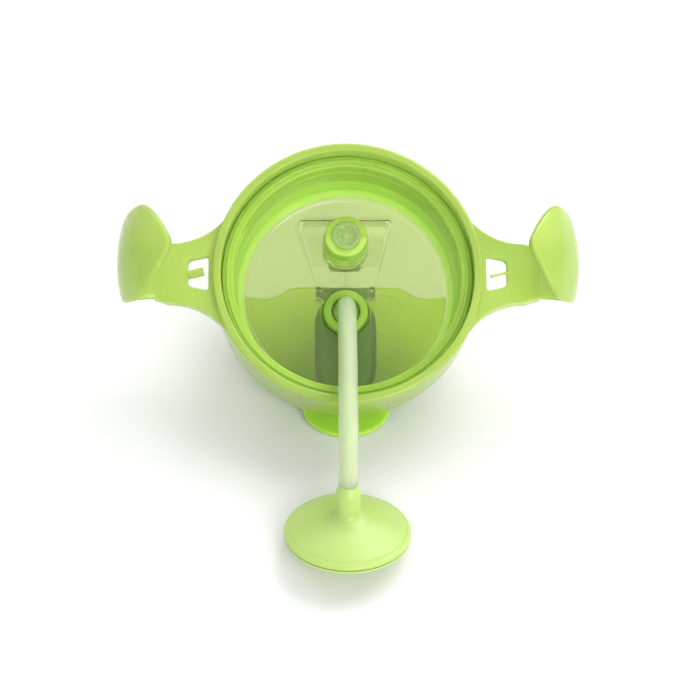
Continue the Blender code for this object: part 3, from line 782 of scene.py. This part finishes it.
def arm_pocket(side):
    """The hollow under an arm, from the ring's outer wall to the grip."""
    margin, steps = 0.0001, 8
    kept = RING_OUTER - margin
    edge = [Vector(corner) for corner in arm_outline(1, ARM_EDGE)]
    edge = [corner for corner in edge if corner.length > kept + margin and corner.y > 0]
    reach = math.atan2(edge[0].y, edge[0].x)
    turns = [reach * k / steps for k in range(steps)]
    wall = [(kept * math.cos(a), kept * math.sin(a)) for a in turns]
    half = [*wall, *edge]
    outline = half + [(x, -y) for x, y in reversed(half[1:])]
    return plate([(side * x, y) for x, y in outline], ARM_TOP - 2 * ARM_DEPTH, ARM_TOP - ARM_WEB)


def window_cutter(side):
    """The arm's window, its upper edge rounded off."""
    near_corner, far_corner, edge = 0.0007, 0.0016, 0.0004
    levels = (
        (0.0, ARM_TOP - 3 * ARM_DEPTH),
        (0.0, ARM_TOP - 0.0006),
        (0.0001, ARM_TOP - 0.0003),
        (edge, ARM_TOP),
        (edge, ARM_TOP + ARM_DEPTH),
    )
    rings = []
    for grown, z in levels:
        near, far = WINDOW_NEAR - grown, WINDOW_FAR + grown
        near_half, far_half = WINDOW_NEAR_HALF + grown, WINDOW_FAR_HALF + grown
        corners = [
            (near, -near_half, near_corner),
            (far, -far_half, far_corner),
            (far, far_half, far_corner),
            (near, near_half, near_corner),
        ]
        rings.append([(side * x, y, z) for x, y in rounded(corners)])
    return loft(rings)


def click_tongue(side):
    """The springy tongue in an arm's window, turned half round from one arm to the other."""
    root, tip, half_width, half_height = -0.0005, 0.0047, 0.0004, 0.0019
    tongue = box(root, tip, -half_width, half_width, -half_height, half_height, soften=0.00018)
    around = Matrix.Rotation(0.0 if side < 0 else math.pi, 4, "Z")
    turn = Euler((math.radians(-16), 0, math.radians(14))).to_matrix().to_4x4()
    return moved(tongue, around @ at(-WINDOW_FAR, -half_width, ARM_TOP - 0.0012) @ turn)


def spine_point(t):
    """A point of the grip's Bezier spine, as (x, z)."""
    a, b, c, d = (Vector(p) for p in GRIP_SPINE)
    s = 1 - t
    return a * s**3 + b * (3 * s * s * t) + c * (3 * s * t * t) + d * t**3


def grip_half_width(t):
    """From the grip's root to the leaf's widest, and then in to its round tip."""
    fall, roundness = 1.7, 0.72
    if t < GRIP_WIDEST_AT:
        u = t / GRIP_WIDEST_AT
        return GRIP_ROOT_HALF + (GRIP_HALF - GRIP_ROOT_HALF) * u * u * (3 - 2 * u)
    u = (t - GRIP_WIDEST_AT) / (1 - GRIP_WIDEST_AT)
    return GRIP_HALF * max(1 - u**fall, 0.0) ** roundness


def grip_leaf(side):
    """A curled grip, with its stations closer together towards the tip."""
    stations = []
    along, crowding, end, ahead_by = 64, 1.35, 0.997, 0.002
    for j in range(along + 1):
        s = j / along
        t = end * (1 - (1 - s) ** crowding)
        here, ahead = spine_point(t), spine_point(t + ahead_by)
        tangent = (ahead - here).normalized()
        half = grip_half_width(t)
        grown = math.sin(math.pi * min(t / GRIP_WIDEST_AT, 1) / 2)
        crown = GRIP_CROWN * grown * (half / GRIP_HALF) ** 2
        middle = Vector((side * here.x, 0, here.y))
        normal = Vector((-side * tangent.y, 0, tangent.x))
        stations.append((middle, normal, half, crown))
    return leaf(stations, GRIP_THICKNESS, Vector((0, 1, 0)), Vector((side, 0, 0)))


def build_handle_ring(material):
    ring = turned(ring_profile(), steps=LID_STEPS)
    for side in (1, -1):
        arm = plate(arm_outline(side, 0.0), ARM_TOP - ARM_DEPTH, ARM_TOP, soften=0.0005)
        arm = cut(arm, arm_pocket(side), window_cutter(side))
        ring = join(ring, arm, grip_leaf(side), click_tongue(side))
    return piece(ring, "handle_ring_skin", material, "lid", "handle_plastic", LID, "handle_ring")


# ---------------------------------------------------------------- flip cover


def roof_z(y):
    """The lid-frame height of the ground, where the hood's flat roof lies."""
    return -(DECK_HEIGHT + y * math.sin(LEAN)) / math.cos(LEAN)


def hood_footprint(inset):
    """The hood's stadium outline."""
    steps = 28
    radius = HOOD_HALF - inset
    points = []
    for start, y in ((0, HOOD_REAR_Y), (math.pi, HOOD_NEAR_Y)):
        for k in range(steps + 1):
            angle = start + math.pi * k / steps
            points.append((radius * math.cos(angle), y + radius * math.sin(angle)))
    return points


def hood_loft(wall, base):
    """The hood, or with a wall its hollow: drafted sides, round edges, a flat sloping roof."""
    rings = [[(x, y, base) for x, y in hood_footprint(wall)]]
    lift = wall / math.cos(LEAN)
    edge = 12
    for k in range(edge + 1):
        angle = math.pi / 2 * k / edge
        inset = wall + HOOD_DRAFT + HOOD_EDGE * (1 - math.cos(angle))
        rise = lift + HOOD_EDGE * (1 - math.sin(angle))
        rings.append([(x, y, roof_z(y) + rise) for x, y in hood_footprint(inset)])
    return loft(rings)


def plate_outline():
    """A half disc whose far edge waves: high in the middle, low near the sides."""
    flat_half, low_at, margin, steps = 0.0150, 0.0246, 0.0002, 72
    far_edge = []
    for k in range(steps + 1):
        x = -PLATE_RADIUS + margin + k * (2 * PLATE_RADIUS - 2 * margin) / steps
        reach = min(max((abs(x) - flat_half) / (low_at - flat_half), 0), 1)
        drop = (1 - math.cos(math.pi * reach)) / 2
        rise = 0.0007 * max(abs(x) - low_at, 0) / (PLATE_RADIUS - low_at)
        far_edge.append((x, PLATE_EDGE_HIGH + (PLATE_EDGE_LOW - PLATE_EDGE_HIGH) * drop + rise))
    near_arc = [
        (PLATE_RADIUS * math.cos(math.radians(a)), PLATE_RADIUS * math.sin(math.radians(a)))
        for a in range(-3, -178, -2)
    ]
    return far_edge + near_arc


def thumb_tab():
    """A half-elliptic lip that follows the lid's shoulder and stands out past the ring."""
    steps, ahead, narrowest = 40, 0.01, 0.0009
    length = TAB_END_Y - TAB_START_Y
    stations = []

    def height(t):
        return (PLATE_TOP + PLATE_BOTTOM) / 2 + TAB_LIFT * t**1.5

    for j in range(steps + 1):
        t = math.sin(math.pi / 2 * j / steps)
        u = max(t - TAB_STRAIGHT, 0) / (1 - TAB_STRAIGHT)
        half = TAB_HALF * math.sqrt(max(1 - u * u, narrowest))
        slope = (height(t + ahead) - height(t)) / (ahead * length)
        middle = Vector((0, TAB_START_Y + length * t, height(t)))
        stations.append((middle, Vector((0, -slope, 1)).normalized(), half, 0.0))
    return leaf(stations, TAB_THICKNESS, Vector((1, 0, 0)), Vector((0, 0, 1)))


def plaque():
    """A plain raised oblong with round ends, under the plate."""
    corner = PLAQUE_HALF_HEIGHT - 0.0001
    low, high = PLAQUE_Y - PLAQUE_HALF_HEIGHT, PLAQUE_Y + PLAQUE_HALF_HEIGHT
    corners = [
        (PLAQUE_HALF, low, corner),
        (PLAQUE_HALF, high, corner),
        (-PLAQUE_HALF, high, corner),
        (-PLAQUE_HALF, low, corner),
    ]
    outline = rounded(corners, steps=16)
    return plate(outline, PLATE_BOTTOM - PLAQUE_RELIEF, PLATE_BOTTOM + 0.0006, soften=0.0002)


def build_flip_cover(material):
    edge = 0.0004
    cover = plate(plate_outline(), PLATE_BOTTOM, PLATE_TOP, soften=edge)
    cover = join(cover, plaque())
    ear_room = EAR_THICKNESS + 2 * GAP
    for side in (1, -1):
        middle = side * (BARREL_HALF + ear_room / 2)
        low, high = middle - ear_room / 2, middle + ear_room / 2
        cover = cut(cover, box(low, high, HINGE_Y - EAR_HALF - GAP, CLEAR, -CLEAR, 0.0))
    barrel = moved(rod(BARREL_RADIUS, BARREL_HALF), at(0, HINGE_Y, HINGE_Z))
    cover = join(cover, thumb_tab(), hood_loft(0.0, PLATE_TOP - edge), barrel)
    cover = cut(cover, hood_loft(HOOD_WALL, 0.0))
    pins = rod(PIN_RADIUS, BARREL_HALF + GAP + EAR_THICKNESS)
    cover = join(cover, moved(pins, at(0, HINGE_Y, HINGE_Z)))
    return piece(cover, "flip_cover_skin", material, "cover", "cover_plastic", LID, "flip_cover")


# ---------------------------------------------------------------- small inner pieces


def build_mouth_straw(material):
    """Soft spout with a round root, folded down under the hood."""
    root = []
    for degrees in range(56, -57, -8):
        angle = math.radians(degrees)
        root.append((MOUTH_BALL * math.cos(angle), MOUTH_BALL * math.sin(angle)))
    tip = [
        (MOUTH_BORE, MOUTH_LENGTH, 0.0003),
        (MOUTH_RADIUS - 0.0002, MOUTH_LENGTH, 0.0007),
        (MOUTH_RADIUS + 0.0002, MOUTH_LENGTH - 0.0014, 0.0006),
        (MOUTH_RADIUS - 0.0001, MOUTH_LENGTH - 0.0036, 0.0006),
    ]
    profile = rounded([*tip, *[tuple(p) for p in root], (MOUTH_BORE, root[-1][1])])
    spout = turned(profile)
    place = LID @ at(0, BOSS_Y, MOUTH_PIVOT_Z) @ Matrix.Rotation(math.pi - MOUTH_FOLD, 4, "X")
    return piece(spout, "spout_skin", material, "mouthpiece", "mouthpiece_silicone", place, "mouth_straw")


def build_straw_connector(material):
    """A short pipe through the deck, with a flange under it."""
    neck, tip = DECK_HOLE - GAP, 0.0002
    corners = [
        (MOUTH_BORE, CONNECTOR_TOP, tip),
        (neck, CONNECTOR_TOP, tip),
        (neck, -WALL - GAP),
        (CONNECTOR_FLANGE, -WALL - GAP, tip),
        (CONNECTOR_FLANGE, CONNECTOR_BOTTOM, tip),
        (MOUTH_BORE, CONNECTOR_BOTTOM, tip),
    ]
    connector = turned(rounded(corners, steps=4))
    place = LID @ at(0, BOSS_Y, 0)
    return piece(
        connector, "connector_skin", material, "connector", "connector_plastic", place, "straw_connector"
    )


def build_vent_valve(material):
    """A silicone plug with a flange over the stub's end, a raised ring and a centre pip."""
    side, groove, edge = STUB_BORE - GAP, VALVE_TOP - VALVE_GROOVE, 0.0002
    corners = [
        (0, VALVE_TOP),
        (0.0010, VALVE_TOP, 0.0003),
        (0.0013, groove, edge),
        (0.0028, groove, edge),
        (0.0031, VALVE_TOP, edge),
        (VALVE_FLANGE, VALVE_TOP, 0.0003),
        (VALVE_FLANGE, STUB_TOP + GAP, 0.0001),
        (side, STUB_TOP + GAP),
        (side, STUB_BORE_FLOOR + GAP, edge),
        (0, STUB_BORE_FLOOR + GAP),
    ]
    plug = turned(rounded(corners, closed=False, steps=4), closed=False)
    place = LID @ at(0, STUB_Y, 0)
    return piece(plug, "vent_valve_skin", material, "lid", "valve_silicone", place, "vent_valve")


# ---------------------------------------------------------------- drop straw and weight


def smooth_path(route, count):
    """Evenly spaced points of the Catmull-Rom curve through the route."""
    between = 20
    knots = [Vector(point) for point in route]
    knots = [2 * knots[0] - knots[1], *knots, 2 * knots[-1] - knots[-2]]
    dense = []
    for a, b, c, d in zip(knots, knots[1:], knots[2:], knots[3:]):
        for k in range(between):
            t = k / between
            bend = (2 * a - 5 * b + 4 * c - d) * t**2 + (3 * b - a - 3 * c + d) * t**3
            dense.append((2 * b + (c - a) * t + bend) / 2)
    dense.append(knots[-2])
    reach = [0.0]
    for a, b in zip(dense, dense[1:]):
        reach.append(reach[-1] + (b - a).length)
    points, at_knot = [], 0
    for k in range(count):
        wanted = reach[-1] * k / (count - 1)
        while at_knot < len(reach) - 2 and reach[at_knot + 1] < wanted:
            at_knot += 1
        share = (wanted - reach[at_knot]) / (reach[at_knot + 1] - reach[at_knot])
        points.append(dense[at_knot].lerp(dense[at_knot + 1], share))
    return points


def build_straw_tube(material):
    """A hollow tube along the route: out along its outer wall and back along its bore."""
    path = smooth_path(STRAW_ROUTE, TUBE_STEPS)
    turns = [2 * math.pi * k / TUBE_AROUND for k in range(TUBE_AROUND)]
    outer, inner = [], []
    side = Vector((1, 0, 0))
    for k, here in enumerate(path):
        along = (path[min(k + 1, TUBE_STEPS - 1)] - path[max(k - 1, 0)]).normalized()
        up = along.cross(side).normalized()
        across = up.cross(along)
        spokes = [across * math.cos(a) + up * math.sin(a) for a in turns]
        outer.append([here + spoke * TUBE_DIAMETER / 2 for spoke in spokes])
        inner.append([here + spoke * TUBE_BORE_RADIUS for spoke in spokes])
    tube = loft(outer + inner[::-1], ends="joined")
    tube = piece(tube, "straw_tube_skin", material, None, "clear_silicone", Matrix.Identity(4), "straw_tube")
    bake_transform(tube)
    return tube, path


def weight_dome(radius):
    """Height of the weight's upper face over its rim."""
    return WEIGHT_CROWN * (1 - (radius / WEIGHT_RADIUS) ** 2)


def weight_floor(radius):
    """Height of its lower face, a shallow cap of a sphere."""
    return WEIGHT_LOWEST + WEIGHT_CAP_RADIUS - math.sqrt(WEIGHT_CAP_RADIUS**2 - radius**2)


def weight_cap_profile():
    """The stem, the domed face with a fine groove near its rim, and the hollow inside."""
    stem = [
        (STEM_BORE, STEM_TOP),
        (0.0027, STEM_TOP, 0.0004),
        (STEM_RADIUS, STEM_TOP - 0.0030, 0.0008),
        (STEM_RADIUS, 0.0054, 0.0018),
    ]
    radii = [0.0062 + 0.0005 * k for k in range(20)]
    dome = [(r, weight_dome(r)) for r in radii]
    groove_start, groove, groove_end, groove_depth = 0.0166, 0.0169, 0.0172, 0.00022
    lip = [
        (groove_start, weight_dome(groove_start)),
        (groove, weight_dome(groove) - groove_depth, 0.0002),
        (groove_end, weight_dome(groove_end), 0.0002),
        (WEIGHT_RADIUS, WEIGHT_RIM, 0.0005),
        (WEIGHT_RADIUS, WEIGHT_SEAM, 0.0002),
    ]
    inside = [
        (WEIGHT_SEAT, WEIGHT_SEAM),
        (0.0134, WEIGHT_ROOF),
        (0.0038, WEIGHT_ROOF),
        (STEM_BORE, 0.0030),
    ]
    return rounded([*stem, *dome, *lip, *inside], steps=5)


def weight_base_profile():
    """The lower shell: its rim, its round floor, and back along the inside of its wall."""
    hole, hollow, edge_z = 0.0030, 0.0128, -0.0022
    floor = [(r, weight_floor(r)) for r in (0.0174, *[0.0168 - 0.0006 * k for k in range(24)])]
    return rounded([
        (WEIGHT_SEAT, WEIGHT_SEAM - GAP),
        (WEIGHT_RADIUS, WEIGHT_SEAM - GAP, 0.0002),
        (WEIGHT_RADIUS, edge_z, 0.0004),
        *floor,
        (hole, weight_floor(hole) + WEIGHT_WALL),
        (hollow, weight_floor(hollow) + WEIGHT_WALL),
    ], steps=5)


def build_weight(material):
    """The weight's two shells, which swing with the drop straw."""
    halves = []
    profiles = {"weight_cap": weight_cap_profile(), "weight_base": weight_base_profile()}
    for name, profile in profiles.items():
        half = turned(profile, steps=WEIGHT_STEPS)
        half = piece(half, name + "_skin", material, "drop_straw", "weight_plastic", WEIGHT, name)
        halves.append(half)
    return halves


# ---------------------------------------------------------------- studio


def add_camera():
    """The camera, as fitted to the photograph."""
    data = bpy.data.cameras.new("camera")
    data.lens = CAMERA_LENS
    camera = bpy.data.objects.new("camera", data)
    bpy.context.scene.collection.objects.link(camera)
    pitch = Matrix.Rotation(CAMERA_PITCH, 3, "X")
    roll = Matrix.Rotation(CAMERA_ROLL, 3, "Y")
    camera.matrix_world = at(*CAMERA_PLACE) @ (pitch @ roll).to_4x4()
    bpy.context.scene.camera = camera


def area_light(name, place, size, power):
    """A white round light that looks at the lid."""
    data = bpy.data.lights.new(name, "AREA")
    data.shape = "DISK"
    data.size = size
    data.energy = power
    light = bpy.data.objects.new(name, data)
    bpy.context.scene.collection.objects.link(light)
    light.location = place
    light.rotation_euler = (Vector(LIGHT_AIM) - Vector(place)).to_track_quat("-Z", "Y").to_euler()


def add_studio():
    """An even white sky, the lights and the floor."""
    world = bpy.data.worlds.new("studio")
    bpy.context.scene.world = world
    world.use_nodes = True
    background = world.node_tree.nodes["Background"]
    background.inputs["Color"].default_value = (1, 1, 1, 1)
    background.inputs["Strength"].default_value = SKY_STRENGTH
    for light in LIGHTS:
        area_light(*light)
    bpy.ops.mesh.primitive_plane_add(size=FLOOR_SIZE)
    floor = bpy.context.object
    floor.name = "studio_floor"
    floor.data.materials.append(floor_material())
    view = bpy.context.scene.view_settings
    view.view_transform = "Standard"


# ---------------------------------------------------------------- the whole

add_camera()
add_studio()

lid_plastic = moulded(
    "lid_polypropylene", (0.66, 0.76, 0.34), (0.63, 0.74, 0.31), 0.12, 0.85, subsurface=1.0
)
deepen(lid_plastic, (0.57, 0.87, 0.13), 0.45, (0.0002, 0.0020))
handle_plastic = moulded(
    "handle_polypropylene", (0.55, 0.71, 0.16), (0.52, 0.69, 0.14), 0.20, 0.45, subsurface=1.0
)
cover_plastic = moulded(
    "cover_polypropylene", (0.78, 0.99, 0.17), (0.74, 0.98, 0.15), 0.12, 0.95, subsurface=1.0
)
# Painted light: the hood's walls, from 4.2 to 5.5 mm and further out past the deck's inner face, get a
# deeper, less see-through green that stands in for the light inside the hood; the thumb tab's raised end
# also gets this deeper, cloudier green.
deepen(cover_plastic, (0.52, 0.94, 0.10), 0.20, (-0.0042, -0.0055), (-0.0020, -0.0008))
spout_silicone = moulded(
    "spout_silicone", (0.64, 0.92, 0.34), (0.60, 0.90, 0.30), 0.35, 0.55, SILICONE_IOR, subsurface=1.0
)
connector_plastic = moulded(
    "connector_polypropylene", (0.60, 0.84, 0.22), (0.56, 0.82, 0.18), 0.25, 0.50, subsurface=1.0
)
valve_silicone = moulded(
    "valve_silicone", (0.58, 0.78, 0.30), (0.54, 0.76, 0.26), 0.28, 0.40, SILICONE_IOR, subsurface=1.0
)
clear_silicone = moulded(
    "clear_silicone", (0.80, 0.90, 0.66), (0.77, 0.88, 0.62), 0.22, 0.62, CLEAR_IOR, subsurface=1.0
)
weight_plastic = moulded(
    "weight_plastic", (0.44, 0.60, 0.17), (0.42, 0.58, 0.15), 0.34, subsurface=0.35
)

build_lid_shell(lid_plastic)
build_handle_ring(handle_plastic)
build_flip_cover(cover_plastic)
build_mouth_straw(spout_silicone)
build_straw_connector(connector_plastic)
build_vent_valve(valve_silicone)
straw, straw_path = build_straw_tube(clear_silicone)
weight_halves = build_weight(weight_plastic)

slug = frame["nodes"]["weight_slug"]
slug.data.materials.clear()
slug.data.materials.append(brushed_steel("weight_ring_steel"))
